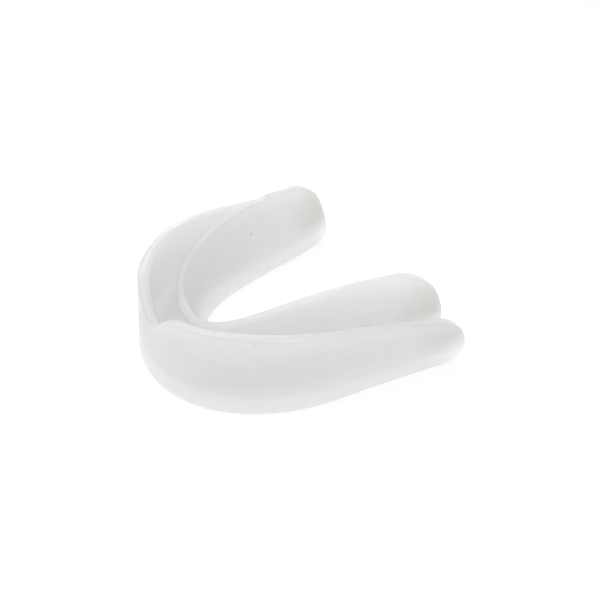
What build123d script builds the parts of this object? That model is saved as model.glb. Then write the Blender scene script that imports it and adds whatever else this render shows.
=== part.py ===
from build123d import *
import os
from math import atan2, cos, degrees, pi

# Upper-jaw mouthguard, one moulded piece, in millimetres.
# X runs across the mouth, with the mirror plane at X = 0. The front teeth sit at -Y and both arms
# end at +Y. +Z points up into the upper jaw. The flat underside rests on Z = 0.

# Plan
LENGTH = 56.15             # front face to where the inner wall's arm ends meet, before rounding
ROUNDED_OFF = 0.15         # how much of that the rounded ends take away
FRONT_Y = -(LENGTH - ROUNDED_OFF) / 2
REAR_Y = FRONT_Y + LENGTH
PLATE_FRONT_WIDTH = 14.4   # bite plate, front to back at the midline
OUTER_SETBACK = 1.5        # the outer wall ends this much ahead of the inner one
OUTER_ARCH = {"front_y": FRONT_Y, "rear_y": REAR_Y - OUTER_SETBACK,
              "half_width": 24.2, "depth": 28.2, "roundness": 2.06, "flare": 6.3, "flare_power": 1.63}
INNER_ARCH = {"front_y": FRONT_Y + PLATE_FRONT_WIDTH, "rear_y": REAR_Y,
              "half_width": 13.1, "depth": 28.6, "roundness": 2.56, "flare": 6.8, "flare_power": 2.3}

# Section across the channel
PLATE_THICKNESS = 3.5
FLOOR_FILLET = 1.2         # where the channel floor meets each wall
BASE_ROUND = 1.5           # lower edges of the bite plate
OUTER_WALL = {"foot": 3.3, "rim_radius": 1.15, "lean_front": 2.4, "lean_rear": 0.1,
              "heights": (17.0, 17.1, 14.3, 12.1)}
INNER_WALL = {"foot": 3.1, "rim_radius": 1.05, "lean_front": 3.1, "lean_rear": 1.5,
              "heights": (11.5, 18.3, 18.8, 19.4)}

# Notch in the outer rim for the lip's frenum
NOTCH_DEPTH = 5.0
NOTCH_HALF_WIDTH = 10.5

# Rounded corners of the arm ends in side view: run along the arm, rise up the wall
OUTER_TOP_CORNER = (8.0, 7.9)
INNER_TOP_CORNER = (12.2, 17.5)
BOTTOM_CORNER = (4.5, 5.1)
TANGENT_MARGIN = 0.25      # lifts a top corner's arc just clear of the sloping rim

STATIONS_PER_SIDE = 20     # sections on each side of the midline
UNDERSIDE_TRIM = 0.1       # cut off below the lofted sections, so that the underside is a true plane


def arch_fraction(arch, y):
    """How far along an arch y is: 0 at its front, 1 at its arm end."""
    return (y - arch["front_y"]) / (arch["rear_y"] - arch["front_y"])


def arch_x(arch, y):
    """Half-width of an arch at y: a superellipse nose that runs into flaring arms."""
    nose = min(1.0, (y - arch["front_y"]) / arch["depth"])
    bow = (1 - (1 - nose) ** arch["roundness"]) ** (1 / arch["roundness"])
    return arch["half_width"] * bow + arch["flare"] * arch_fraction(arch, y) ** arch["flare_power"]


def rim_height(wall, fraction):
    """Cubic curve through the wall's four heights, spaced evenly from the front to the arm end."""
    knots = (0.0, 1 / 3, 2 / 3, 1.0)
    total = 0.0
    for i, height in enumerate(wall["heights"]):
        weight = 1.0
        for j in range(len(knots)):
            if j != i:
                weight *= (fraction - knots[j]) / (knots[i] - knots[j])
        total += height * weight
    return total


def lean(wall, fraction):
    """How far the rim leans in over the channel."""
    return wall["lean_front"] + (wall["lean_rear"] - wall["lean_front"]) * fraction


def notch_depth(x):
    """How far the frenum notch lowers the outer rim at x."""
    if abs(x) >= NOTCH_HALF_WIDTH:
        return 0.0
    return NOTCH_DEPTH * (1 + cos(pi * x / NOTCH_HALF_WIDTH)) / 2


def station_points(station):
    """Inner and outer points of the bite plate's edge at a station: 0 at the midline, 1 at an end."""
    along = station ** 2
    outer_y = FRONT_Y + (LENGTH - OUTER_SETBACK) * along
    inner_y = outer_y + PLATE_FRONT_WIDTH * (1 - along) ** 2 + OUTER_SETBACK * along
    side = -1 if station < 0 else 1
    inner = Vector(side * arch_x(INNER_ARCH, inner_y), inner_y)
    outer = Vector(side * arch_x(OUTER_ARCH, outer_y), outer_y)
    return inner, outer


def section(station):
    """Closed profile of the channel in the upright plane through a station's two points."""
    inner, outer = station_points(station)
    width = (outer - inner).length
    plane = Plane(origin=inner, x_dir=outer - inner, z_dir=(outer - inner).cross(Vector(0, 0, 1)))

    outer_fraction = arch_fraction(OUTER_ARCH, outer.Y)
    inner_fraction = arch_fraction(INNER_ARCH, inner.Y)
    outer_top = rim_height(OUTER_WALL, outer_fraction) - notch_depth(outer.X)
    inner_top = rim_height(INNER_WALL, inner_fraction)
    outer_rim = OUTER_WALL["rim_radius"]
    inner_rim = INNER_WALL["rim_radius"]
    rim_out = width - lean(OUTER_WALL, outer_fraction)
    rim_in = lean(INNER_WALL, inner_fraction)

    base = -UNDERSIDE_TRIM
    low = BASE_ROUND
    corner = BASE_ROUND * (1 - cos(pi / 4))
    floor = PLATE_THICKNESS
    bend = FLOOR_FILLET
    dip = FLOOR_FILLET * (1 - cos(pi / 4))
    outer_foot = width - OUTER_WALL["foot"]
    inner_foot = INNER_WALL["foot"]

    outline = [
        Line((low, base), (width - low, base)),
        ThreePointArc((width - low, base), (width - corner, base + corner), (width, base + low)),
        Line((width, base + low), (rim_out, outer_top - outer_rim)),
        ThreePointArc((rim_out, outer_top - outer_rim), (rim_out - outer_rim, outer_top),
                      (rim_out - 2 * outer_rim, outer_top - outer_rim)),
        Line((rim_out - 2 * outer_rim, outer_top - outer_rim), (outer_foot, floor + bend)),
        ThreePointArc((outer_foot, floor + bend), (outer_foot - dip, floor + dip),
                      (outer_foot - bend, floor)),
        Line((outer_foot - bend, floor), (inner_foot + bend, floor)),
        ThreePointArc((inner_foot + bend, floor), (inner_foot + dip, floor + dip),
                      (inner_foot, floor + bend)),
        Line((inner_foot, floor + bend), (rim_in + 2 * inner_rim, inner_top - inner_rim)),
        ThreePointArc((rim_in + 2 * inner_rim, inner_top - inner_rim), (rim_in + inner_rim, inner_top),
                      (rim_in, inner_top - inner_rim)),
        Line((rim_in, inner_top - inner_rim), (0, base + low)),
        ThreePointArc((0, base + low), (corner, base + corner), (low, base)),
    ]
    return plane * make_face(outline)


def corner_cutter(across_from, across_to, z_corner, size, upward):
    """What is left outside a rounded corner at both arm ends, between two distances across the end."""
    run, rise = size
    span = across_to - across_from
    z_arc = z_corner - upward * rise
    block = Pos((across_from + across_to) / 2, 0, z_corner) * Box(span, 2 * run, 2 * rise)
    side_view = Plane(origin=(across_from, -run, z_arc), x_dir=(0, 1, 0), z_dir=(1, 0, 0))
    arc = extrude(side_view * Ellipse(run, rise), span)
    inner, outer = station_points(1)
    turn = degrees(atan2(outer.Y - inner.Y, outer.X - inner.X))
    cutter = Pos(inner.X, inner.Y, 0) * Rot(0, 0, turn) * (block - arc)
    return cutter + mirror(cutter, about=Plane.YZ)


def mouthguard():
    """The whole moulding: sections lofted round the arch, then the arm ends rounded."""
    stations = [i / STATIONS_PER_SIDE for i in range(-STATIONS_PER_SIDE, STATIONS_PER_SIDE + 1)]
    body = loft([section(station) for station in stations])
    body -= Pos(0, 0, -LENGTH / 2) * Box(2 * LENGTH, 2 * LENGTH, LENGTH)

    inner, outer = station_points(1)
    width = (outer - inner).length
    beyond = 3.0
    outer_start = arch_fraction(OUTER_ARCH, outer.Y - OUTER_TOP_CORNER[0])
    inner_start = arch_fraction(INNER_ARCH, inner.Y - INNER_TOP_CORNER[0])
    outer_top = rim_height(OUTER_WALL, outer_start) + TANGENT_MARGIN
    inner_top = rim_height(INNER_WALL, inner_start) + TANGENT_MARGIN
    body -= corner_cutter(width / 2, width + beyond, outer_top, OUTER_TOP_CORNER, 1)
    body -= corner_cutter(-beyond, width / 2, inner_top, INNER_TOP_CORNER, 1)
    body -= corner_cutter(-beyond, width + beyond, 0, BOTTOM_CORNER, -1)
    return body


os.makedirs("parts", exist_ok=True)
export_step(mouthguard(), "parts/mouthguard.step")
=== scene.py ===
import math

import bpy
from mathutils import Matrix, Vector


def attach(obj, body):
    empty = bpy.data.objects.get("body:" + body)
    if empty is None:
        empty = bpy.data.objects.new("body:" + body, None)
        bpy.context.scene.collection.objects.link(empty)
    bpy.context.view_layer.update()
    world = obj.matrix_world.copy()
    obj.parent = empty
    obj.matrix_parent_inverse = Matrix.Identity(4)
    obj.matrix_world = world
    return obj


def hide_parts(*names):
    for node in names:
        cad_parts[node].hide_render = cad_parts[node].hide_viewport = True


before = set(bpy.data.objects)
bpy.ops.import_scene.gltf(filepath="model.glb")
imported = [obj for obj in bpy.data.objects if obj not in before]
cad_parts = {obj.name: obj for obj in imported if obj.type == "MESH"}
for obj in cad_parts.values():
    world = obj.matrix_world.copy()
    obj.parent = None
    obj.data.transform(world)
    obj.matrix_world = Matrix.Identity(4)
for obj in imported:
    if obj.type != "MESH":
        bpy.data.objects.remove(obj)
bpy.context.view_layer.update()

MM = 0.001

# ---------------------------------------------------------------- driving dimensions, millimetres
LENGTH = 56.15
ROUNDED_OFF = 0.15
FRONT_Y = -(LENGTH - ROUNDED_OFF) / 2
REAR_Y = FRONT_Y + LENGTH
PLATE_FRONT_WIDTH = 14.4
OUTER_SETBACK = 1.5
OUTER_ARCH = {"front_y": FRONT_Y, "rear_y": REAR_Y - OUTER_SETBACK,
              "half_width": 24.2, "depth": 28.2, "roundness": 2.06, "flare": 6.3, "flare_power": 1.63}
INNER_ARCH = {"front_y": FRONT_Y + PLATE_FRONT_WIDTH, "rear_y": REAR_Y,
              "half_width": 13.1, "depth": 28.6, "roundness": 2.56, "flare": 6.8, "flare_power": 2.3}

PLATE_THICKNESS = 3.5
FLOOR_FILLET = 1.2
BASE_ROUND = 1.5
OUTER_WALL = {"foot": 3.3, "rim_radius": 1.15, "lean_front": 2.4, "lean_rear": 0.1,
              "heights": (17.0, 17.1, 14.3, 12.1)}
INNER_WALL = {"foot": 3.1, "rim_radius": 1.05, "lean_front": 3.1, "lean_rear": 1.5,
              "heights": (11.5, 18.3, 18.8, 19.4)}

NOTCH_DEPTH = 5.0
NOTCH_HALF_WIDTH = 10.5
GATE_MARK = (11.3, 1.7, 0.36)      # y, half-length and height: trimmed gate on the left inner rim

OUTER_TOP_CORNER = (8.0, 7.9)
INNER_TOP_CORNER = (12.2, 17.5)
BOTTOM_CORNER = (4.5, 5.1)
END_EDGE_ROUND = 0.85              # edges of the arm ends

# ---------------------------------------------------------------- mesh density
CURVE_STATIONS = 90        # each side of the midline, up to the last part of an arm
ARM_STATIONS = 18
END_STATIONS = 7
END_PART = 12.0            # length of the last part of an arm
ARC_STEPS = 7
WALL_STEPS = 16
FLOOR_STEPS = 9


def arch_fraction(arch, y):
    """How far along an arch y is: 0 at its front, 1 at its arm end."""
    return max(0.0, (y - arch["front_y"]) / (arch["rear_y"] - arch["front_y"]))


def arch_x(arch, y):
    """Half-width of an arch at y: a superellipse nose that runs into flaring arms."""
    nose = min(1.0, max(0.0, y - arch["front_y"]) / arch["depth"])
    bow = (1 - (1 - nose) ** arch["roundness"]) ** (1 / arch["roundness"])
    return arch["half_width"] * bow + arch["flare"] * arch_fraction(arch, y) ** arch["flare_power"]


def rim_height(wall, fraction):
    """Cubic curve through the wall's four heights, spaced evenly from the front to the arm end."""
    knots = (0.0, 1 / 3, 2 / 3, 1.0)
    total = 0.0
    for i, height in enumerate(wall["heights"]):
        weight = 1.0
        for j in range(len(knots)):
            if j != i:
                weight *= (fraction - knots[j]) / (knots[i] - knots[j])
        total += height * weight
    return total


def lean(wall, fraction):
    """How far the rim leans in over the channel."""
    return wall["lean_front"] + (wall["lean_rear"] - wall["lean_front"]) * fraction


def notch_depth(x):
    """How far the frenum notch lowers the outer rim at x."""
    if abs(x) >= NOTCH_HALF_WIDTH:
        return 0.0
    return NOTCH_DEPTH * (1 + math.cos(math.pi * x / NOTCH_HALF_WIDTH)) / 2


def gate_mark(x, y):
    """How far what is left of the trimmed gate stands up from the inner rim."""
    middle, half_length, height = GATE_MARK
    return height * math.exp(-((y - middle) / half_length) ** 4) if x < 0 else 0.0


def corner_arc(before, corner, after, radius):
    """Points of the arc that rounds a corner, tangent to both of its legs."""
    leg_in = (before - corner).normalized()
    leg_out = (after - corner).normalized()
    half = leg_in.angle(leg_out) / 2
    centre = corner + (leg_in + leg_out).normalized() * (radius / math.sin(half))
    start = corner + leg_in * (radius / math.tan(half)) - centre
    end = corner + leg_out * (radius / math.tan(half)) - centre
    sweep = start.angle(end)
    points = []
    for i in range(ARC_STEPS + 1):
        t = i / ARC_STEPS
        along = start * math.sin((1 - t) * sweep) + end * math.sin(t * sweep)
        points.append(centre + along / math.sin(sweep))
    return points


def rounded_path(points, radii, steps):
    """The arcs that round a path's corners, joined by runs divided into steps."""
    path = []
    for i, radius in enumerate(radii):
        arc = corner_arc(points[i], points[i + 1], points[i + 2], radius)
        run = [path[-1].lerp(arc[0], k / steps[i]) for k in range(1, steps[i])]
        path += run + arc
    return path


def line_at(low, high, z):
    """The point at height z on the line through two points."""
    return low.lerp(high, (z - low.y) / (high.y - low.y))


def rim_round(outside_top, outside_low, channel_top, channel_low):
    """Crest and radius of the round that touches the rim height and both sides of a wall."""
    top = outside_top.y
    slope_out = (outside_top.x - outside_low.x) / (top - outside_low.y)
    slope_in = (channel_top.x - channel_low.x) / (top - channel_low.y)
    facing = 1 if channel_top.x > outside_top.x else -1
    width = abs(channel_top.x - outside_top.x)
    spread = math.hypot(1, slope_out) + math.hypot(1, slope_in) + facing * (slope_in - slope_out)
    radius = width / spread
    from_side = radius * (math.hypot(1, slope_out) - facing * slope_out)
    return Vector((outside_top.x + facing * from_side, top)), radius


def section(q):
    """The profile at station q, as two paths from the inner rim's crest to the outer rim's."""
    along = q * q
    outer_y = FRONT_Y + (LENGTH - OUTER_SETBACK) * along
    inner_y = outer_y + PLATE_FRONT_WIDTH * (1 - along) ** 2 + OUTER_SETBACK * along
    side = -1 if q < 0 else 1
    outer = Vector((side * arch_x(OUTER_ARCH, outer_y), outer_y))
    inner = Vector((side * arch_x(INNER_ARCH, inner_y), inner_y))
    width = (outer - inner).length

    outer_fraction = arch_fraction(OUTER_ARCH, outer_y)
    inner_fraction = arch_fraction(INNER_ARCH, inner_y)
    outer_top = rim_height(OUTER_WALL, outer_fraction) - notch_depth(outer.x)
    inner_top = rim_height(INNER_WALL, inner_fraction) + gate_mark(*inner)
    rim_out = width - lean(OUTER_WALL, outer_fraction)
    rim_in = lean(INNER_WALL, inner_fraction)
    outer_r = OUTER_WALL["rim_radius"]
    inner_r = INNER_WALL["rim_radius"]
    bend = PLATE_THICKNESS + FLOOR_FILLET

    inner_outside = (Vector((0, BASE_ROUND)), Vector((rim_in, inner_top - inner_r)))
    inner_channel = (Vector((INNER_WALL["foot"], bend)),
                     Vector((rim_in + 2 * inner_r, inner_top - inner_r)))
    outer_outside = (Vector((width, BASE_ROUND)), Vector((rim_out, outer_top - outer_r)))
    outer_channel = (Vector((width - OUTER_WALL["foot"], bend)),
                     Vector((rim_out - 2 * outer_r, outer_top - outer_r)))

    outside_points = [line_at(*inner_outside, inner_top), line_at(*inner_outside, 0),
                      line_at(*outer_outside, 0), line_at(*outer_outside, outer_top)]
    channel_points = [line_at(*inner_channel, inner_top), line_at(*inner_channel, PLATE_THICKNESS),
                      line_at(*outer_channel, PLATE_THICKNESS), line_at(*outer_channel, outer_top)]
    inner_crest, inner_round = rim_round(outside_points[0], outside_points[1],
                                         channel_points[0], channel_points[1])
    outer_crest, outer_round = rim_round(outside_points[3], outside_points[2],
                                         channel_points[3], channel_points[2])
    steps = [0, WALL_STEPS, FLOOR_STEPS, WALL_STEPS]
    outside = rounded_path([inner_crest] + outside_points + [outer_crest],
                           [inner_round, BASE_ROUND, BASE_ROUND, outer_round], steps)
    channel = rounded_path([inner_crest] + channel_points + [outer_crest],
                           [inner_round, FLOOR_FILLET, FLOOR_FILLET, outer_round], steps)
    return {"inner": inner, "outer": outer, "width": width, "outside": outside, "channel": channel,
            "outer_top": outer_top, "inner_top": inner_top}


def inset(ring, amount):
    """The closed ring moved inwards by amount, square to itself."""
    moved = []
    count = len(ring)
    for i, point in enumerate(ring):
        tangent = ring[(i + 1) % count] - ring[i - 1]
        normal = Vector((-tangent.y, tangent.x)).normalized()
        moved.append(point + normal * amount)
    return moved


def round_corner(distance, drop, size):
    """Maps the corner of a size[0] by size[1] rectangle onto a quarter ellipse."""
    run, rise = size
    if distance >= run or drop >= rise:
        return distance, drop
    p = 1 - distance / run
    q = 1 - drop / rise
    return run * (1 - p * math.sqrt(1 - q * q / 2)), rise * (1 - q * math.sqrt(1 - p * p / 2))


def stations():
    """Station values from one arm end to the other, closer together where the ends round off."""
    rear = OUTER_ARCH["rear_y"]
    ys = []
    for i in range(1, ARM_STATIONS + 1):
        ys.append(rear - END_PART + (END_PART - END_EDGE_ROUND) * i / ARM_STATIONS)
    for i in range(1, END_STATIONS + 1):
        ys.append(rear - END_EDGE_ROUND * (1 - math.sin(math.pi / 2 * i / END_STATIONS)))
    outer_length = LENGTH - OUTER_SETBACK
    start = math.sqrt((rear - END_PART - FRONT_Y) / outer_length)
    half = [start * i / CURVE_STATIONS for i in range(1, CURVE_STATIONS + 1)]
    half += [math.sqrt((y - FRONT_Y) / outer_length) for y in ys]
    return [-q for q in reversed(half)] + [0.0] + half


def ring_at(q):
    """Vertices of one section in space, in metres."""
    part = section(q)
    ring = part["outside"] + part["channel"][-2:0:-1]
    distance = OUTER_ARCH["rear_y"] - part["outer"].y
    if distance < END_EDGE_ROUND:
        gone = END_EDGE_ROUND - distance
        ring = inset(ring, END_EDGE_ROUND - math.sqrt(END_EDGE_ROUND ** 2 - gone ** 2))
    across = (part["outer"] - part["inner"]) / part["width"]
    side = -1 if q < 0 else 1
    vertices = []
    for point in ring:
        on_outer_wall = point.x > part["width"] / 2
        top = part["outer_top"] if on_outer_wall else part["inner_top"]
        size = OUTER_TOP_CORNER if on_outer_wall else INNER_TOP_CORNER
        arch = OUTER_ARCH if on_outer_wall else INNER_ARCH
        moved, drop = round_corner(distance, top - point.y, size)
        moved, z = round_corner(moved, top - drop, BOTTOM_CORNER)
        place = part["inner"] + across * point.x
        slope = arch["flare_power"] * arch["flare"] / (arch["rear_y"] - arch["front_y"])
        shift = moved - distance
        vertices.append(Vector((place.x - side * slope * shift, place.y - shift, z)) * MM)
    return vertices


def mouthguard_mesh():
    """Rings of vertices skinned from one arm end to the other, with a strip closing each end."""
    rings = [ring_at(q) for q in stations()]
    size = len(rings[0])
    pairs = len(section(0.5)["outside"])
    vertices = [v for ring in rings for v in ring]
    faces = []
    for r in range(len(rings) - 1):
        for i in range(size):
            j = (i + 1) % size
            faces.append((r * size + j, r * size + i, (r + 1) * size + i, (r + 1) * size + j))
    for base, flip in ((0, False), ((len(rings) - 1) * size, True)):
        for i in range(pairs - 1):
            loop = [i, i + 1, (size - i - 1) % size, (size - i) % size]
            loop = [v for k, v in enumerate(loop) if v not in loop[:k]]
            if len(loop) > 2:
                faces.append(tuple(base + v for v in (loop[::-1] if flip else loop)))
    mesh = bpy.data.meshes.new("mouthguard_moulding")
    mesh.from_pydata(vertices, [], faces)
    for polygon in mesh.polygons:
        polygon.use_smooth = True
    # in_channel marks the channel side, where the material paints light
    in_channel = mesh.attributes.new("in_channel", "FLOAT", "POINT")
    # rim marks the rim crests and arm-end edges, where the material paints a highlight
    rim = mesh.attributes.new("rim", "FLOAT", "POINT")
    for r, q in enumerate(stations()):
        end = 1 - min(1.0, (OUTER_ARCH["rear_y"] - section(q)["outer"].y) / END_EDGE_ROUND)
        for i in range(size):
            steps_from_crest = min(i, size - i, abs(i - pairs + 1))
            crest = max(0.0, 1 - steps_from_crest / ARC_STEPS)
            in_channel.data[r * size + i].value = 1.0 if i >= pairs else 0.0
            rim.data[r * size + i].value = max(crest, end)
    return mesh


# ---------------------------------------------------------------- EVA
MILK = (0.82, 0.82, 0.818)            # thin walls
PLATE_PAINTED_LIGHT = (0.87, 0.875, 0.87)      # the bite plate: painted light, lighter where the thick plate scatters more light back
CHANNEL_PAINTED_LIGHT = (0.98, 0.969, 0.972)   # inside the channel: faintly pink, and lightened as painted light against the shade in the channel
END_TINT_AND_PAINTED_SHADE = (0.51, 0.503, 0.475)       # arm ends: faintly yellow, and darkened as painted shade
RIM_PAINTED_HIGHLIGHT = (0.99, 0.99, 0.988)        # painted highlight along the rims and end edges

# Small marks: centre and radius in millimetres, and the share of brightness left in each
SPECKS = (((-18.2, 10.0, 19.3), 1.0, 0.6),        # where the gate was trimmed
          ((-15.2, 3.7, 12.4), 0.45, 0.72),
          ((20.0, -13.5, 16.4), 0.5, 0.93))
RAGGED_EDGE = 0.3                  # how far a mark's edge wanders, as a share of its radius


class Nodes:
    """Short calls for the nodes that the material is built from."""

    def __init__(self, material):
        material.use_nodes = True
        self.tree = material.node_tree
        self.shader = self.tree.nodes["Principled BSDF"]

    def add(self, kind, inputs=None, **settings):
        node = self.tree.nodes.new(kind)
        for name, value in settings.items():
            setattr(node, name, value)
        for name, value in (inputs or {}).items():
            self.put(node.inputs[name], value)
        return node

    def put(self, socket, value):
        if isinstance(value, bpy.types.NodeSocket):
            self.tree.links.new(value, socket)
        else:
            socket.default_value = value

    def math(self, operation, first, second=0.0):
        node = self.add("ShaderNodeMath", {0: first, 1: second}, operation=operation)
        return node.outputs[0]

    def ramp(self, value, low, high, to_low=0.0, to_high=1.0):
        """A smooth step from to_low to to_high as value goes from low to high."""
        node = self.add("ShaderNodeMapRange", {"Value": value, "From Min": low, "From Max": high,
                                               "To Min": to_low, "To Max": to_high},
                        interpolation_type="SMOOTHSTEP")
        return node.outputs["Result"]

    def noise(self, place, scale, detail, stretch=(1, 1, 1)):
        moved = self.add("ShaderNodeVectorMath", {0: place, 1: stretch}, operation="MULTIPLY").outputs[0]
        node = self.add("ShaderNodeTexNoise", {"Vector": moved, "Scale": scale, "Detail": detail})
        return node.outputs["Fac"]

    def mix(self, factor, first, second):
        node = self.add("ShaderNodeMix", data_type="RGBA")
        self.put(node.inputs["Factor"], factor)
        self.put(node.inputs[6], first if isinstance(first, bpy.types.NodeSocket) else (*first, 1))
        self.put(node.inputs[7], second if isinstance(second, bpy.types.NodeSocket) else (*second, 1))
        return node.outputs[2]


def eva_material():
    """Milky EVA: painted light and shade by place (a lighter plate band and channel, darker arm ends,
    painted highlights on the rims), faint clouds and grain, and light scattered inside.
    """
    material = bpy.data.materials.new("milky_eva")
    nodes = Nodes(material)
    shader = nodes.shader

    place = nodes.add("ShaderNodeTexCoord").outputs["Object"]
    place = nodes.add("ShaderNodeVectorMath", {0: place, "Scale": 1 / MM}, operation="SCALE").outputs[0]
    split = nodes.add("ShaderNodeSeparateXYZ", {0: place})
    y = split.outputs["Y"]
    z = split.outputs["Z"]
    in_channel = nodes.add("ShaderNodeAttribute", attribute_name="in_channel").outputs["Fac"]
    rim = nodes.add("ShaderNodeAttribute", attribute_name="rim").outputs["Fac"]

    cloud = nodes.noise(place, 0.16, 3)
    flow = nodes.noise(place, 0.9, 2, stretch=(0.06, 0.06, 1))
    grain = nodes.noise(place, 3.2, 4)

    # Painted light: below band_top the bite plate is lightened, standing in for the light that the thick
    # plate scatters back
    band_top = nodes.math("ADD", nodes.ramp(y, -28, 20, 5.2, 4.2), nodes.math("MULTIPLY", cloud, 0.9))
    painted_plate_light = nodes.ramp(nodes.math("SUBTRACT", z, band_top), -1.3, 0.5, 1.0, 0.0)
    # Painted shade: the upper rear of each arm is darkened, with a faint yellow tint
    end = nodes.math("MULTIPLY", nodes.ramp(y, 12, 26), nodes.ramp(z, 3, 9))
    colour = nodes.mix(painted_plate_light, MILK, PLATE_PAINTED_LIGHT)
    # Painted light: the channel side is lightened against the shade that falls in the channel
    colour = nodes.mix(in_channel, colour, CHANNEL_PAINTED_LIGHT)
    colour = nodes.mix(end, colour, END_TINT_AND_PAINTED_SHADE)
    # Painted highlight: lighter colour along the rim crests and end edges
    colour = nodes.mix(nodes.ramp(rim, 0.35, 0.65), colour, RIM_PAINTED_HIGHLIGHT)
    shade = nodes.math("ADD", nodes.ramp(cloud, 0.25, 0.75, 0.985, 1.012),
                       nodes.ramp(flow, 0.2, 0.8, -0.012, 0.012))
    for centre, radius, dark in SPECKS:
        away = nodes.add("ShaderNodeVectorMath", {0: place, 1: centre}, operation="DISTANCE")
        ragged = nodes.ramp(grain, 0.3, 0.7, -RAGGED_EDGE * radius, RAGGED_EDGE * radius)
        away = nodes.math("ADD", away.outputs["Value"], ragged)
        shade = nodes.math("MULTIPLY", shade, nodes.ramp(away, 0.5 * radius, radius, dark, 1.0))
    colour = nodes.add("ShaderNodeVectorMath", {0: colour, "Scale": shade}, operation="SCALE").outputs[0]
    nodes.put(shader.inputs["Base Color"], colour)

    roughness = nodes.math("ADD", nodes.ramp(cloud, 0.2, 0.8, 0.36, 0.44),
                           nodes.ramp(grain, 0.2, 0.8, -0.02, 0.02))
    nodes.put(shader.inputs["Roughness"], roughness)
    wave = nodes.add("ShaderNodeBump", {"Height": cloud, "Strength": 0.035, "Distance": 0.0004})
    skin = nodes.add("ShaderNodeBump", {"Height": grain, "Strength": 0.05, "Distance": 0.00003,
                                        "Normal": wave.outputs[0]})
    nodes.put(shader.inputs["Normal"], skin.outputs[0])

    shader.inputs["IOR"].default_value = 1.49
    shader.inputs["Coat Weight"].default_value = 0.4
    shader.inputs["Coat Roughness"].default_value = 0.12
    shader.inputs["Subsurface Weight"].default_value = 1.0
    shader.inputs["Subsurface Radius"].default_value = (1, 1, 1)
    shader.inputs["Subsurface Scale"].default_value = 0.018
    return material


guard = bpy.data.objects.new("mouthguard_moulding", mouthguard_mesh())
bpy.context.scene.collection.objects.link(guard)
guard.data.materials.append(eva_material())
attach(guard, "root")
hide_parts("mouthguard")


# ---------------------------------------------------------------- stage, light and camera
FLOOR_HALF = 1.5           # metres
FLOOR_GLOW = 0.3           # lifts the floor to white
FLOOR_Z = -0.00003         # just under the flat underside, so that the two don't coincide
WORLD_STRENGTH = 0.55


def add_floor():
    mesh = bpy.data.meshes.new("floor")
    corners = [(-FLOOR_HALF, -FLOOR_HALF, FLOOR_Z), (FLOOR_HALF, -FLOOR_HALF, FLOOR_Z),
               (FLOOR_HALF, FLOOR_HALF, FLOOR_Z), (-FLOOR_HALF, FLOOR_HALF, FLOOR_Z)]
    mesh.from_pydata(corners, [], [(0, 1, 2, 3)])
    floor = bpy.data.objects.new("floor", mesh)
    bpy.context.scene.collection.objects.link(floor)
    material = bpy.data.materials.new("floor_white")
    material.use_nodes = True
    shader = material.node_tree.nodes["Principled BSDF"]
    shader.inputs["Base Color"].default_value = (0.9, 0.9, 0.9, 1)
    shader.inputs["Roughness"].default_value = 0.8
    shader.inputs["Emission Color"].default_value = (1, 1, 1, 1)
    shader.inputs["Emission Strength"].default_value = FLOOR_GLOW
    floor.data.materials.append(material)


def add_light(name, place, size, watts):
    """A square area lamp, aimed at the origin."""
    lamp = bpy.data.lights.new(name, "AREA")
    lamp.energy = watts
    lamp.size = size
    light = bpy.data.objects.new(name, lamp)
    light.location = place
    light.rotation_euler = Vector(place).to_track_quat("Z", "Y").to_euler()
    bpy.context.scene.collection.objects.link(light)


CAMERA_AZIMUTH = 58.7
CAMERA_ELEVATION = 40.3
CAMERA_DISTANCE = 109.6
CAMERA_AIM = (4.45, 4.63, 6.96)
CAMERA_LENS = 31.76


def add_camera():
    azimuth = math.radians(CAMERA_AZIMUTH)
    elevation = math.radians(CAMERA_ELEVATION)
    back = Vector((math.sin(azimuth) * math.cos(elevation), -math.cos(azimuth) * math.cos(elevation),
                   math.sin(elevation)))
    data = bpy.data.cameras.new("camera")
    data.lens = CAMERA_LENS
    data.clip_start = 0.005
    camera = bpy.data.objects.new("camera", data)
    camera.location = (Vector(CAMERA_AIM) + back * CAMERA_DISTANCE) * MM
    camera.rotation_euler = back.to_track_quat("Z", "Y").to_euler()
    bpy.context.scene.collection.objects.link(camera)
    bpy.context.scene.camera = camera


def add_world():
    world = bpy.data.worlds.new("studio")
    world.use_nodes = True
    world.node_tree.nodes["Background"].inputs["Color"].default_value = (1, 1, 1, 1)
    world.node_tree.nodes["Background"].inputs["Strength"].default_value = WORLD_STRENGTH
    bpy.context.scene.world = world
    bpy.context.scene.view_settings.view_transform = "Standard"


add_world()
add_floor()
add_light("overhead", (-0.12, -0.1, 0.5), 0.4, 0.65)
add_light("back", (-0.33, 0.2, 0.33), 0.12, 0.28)
add_light("fill", (0.36, -0.05, 0.4), 0.13, 0.35)
add_camera()
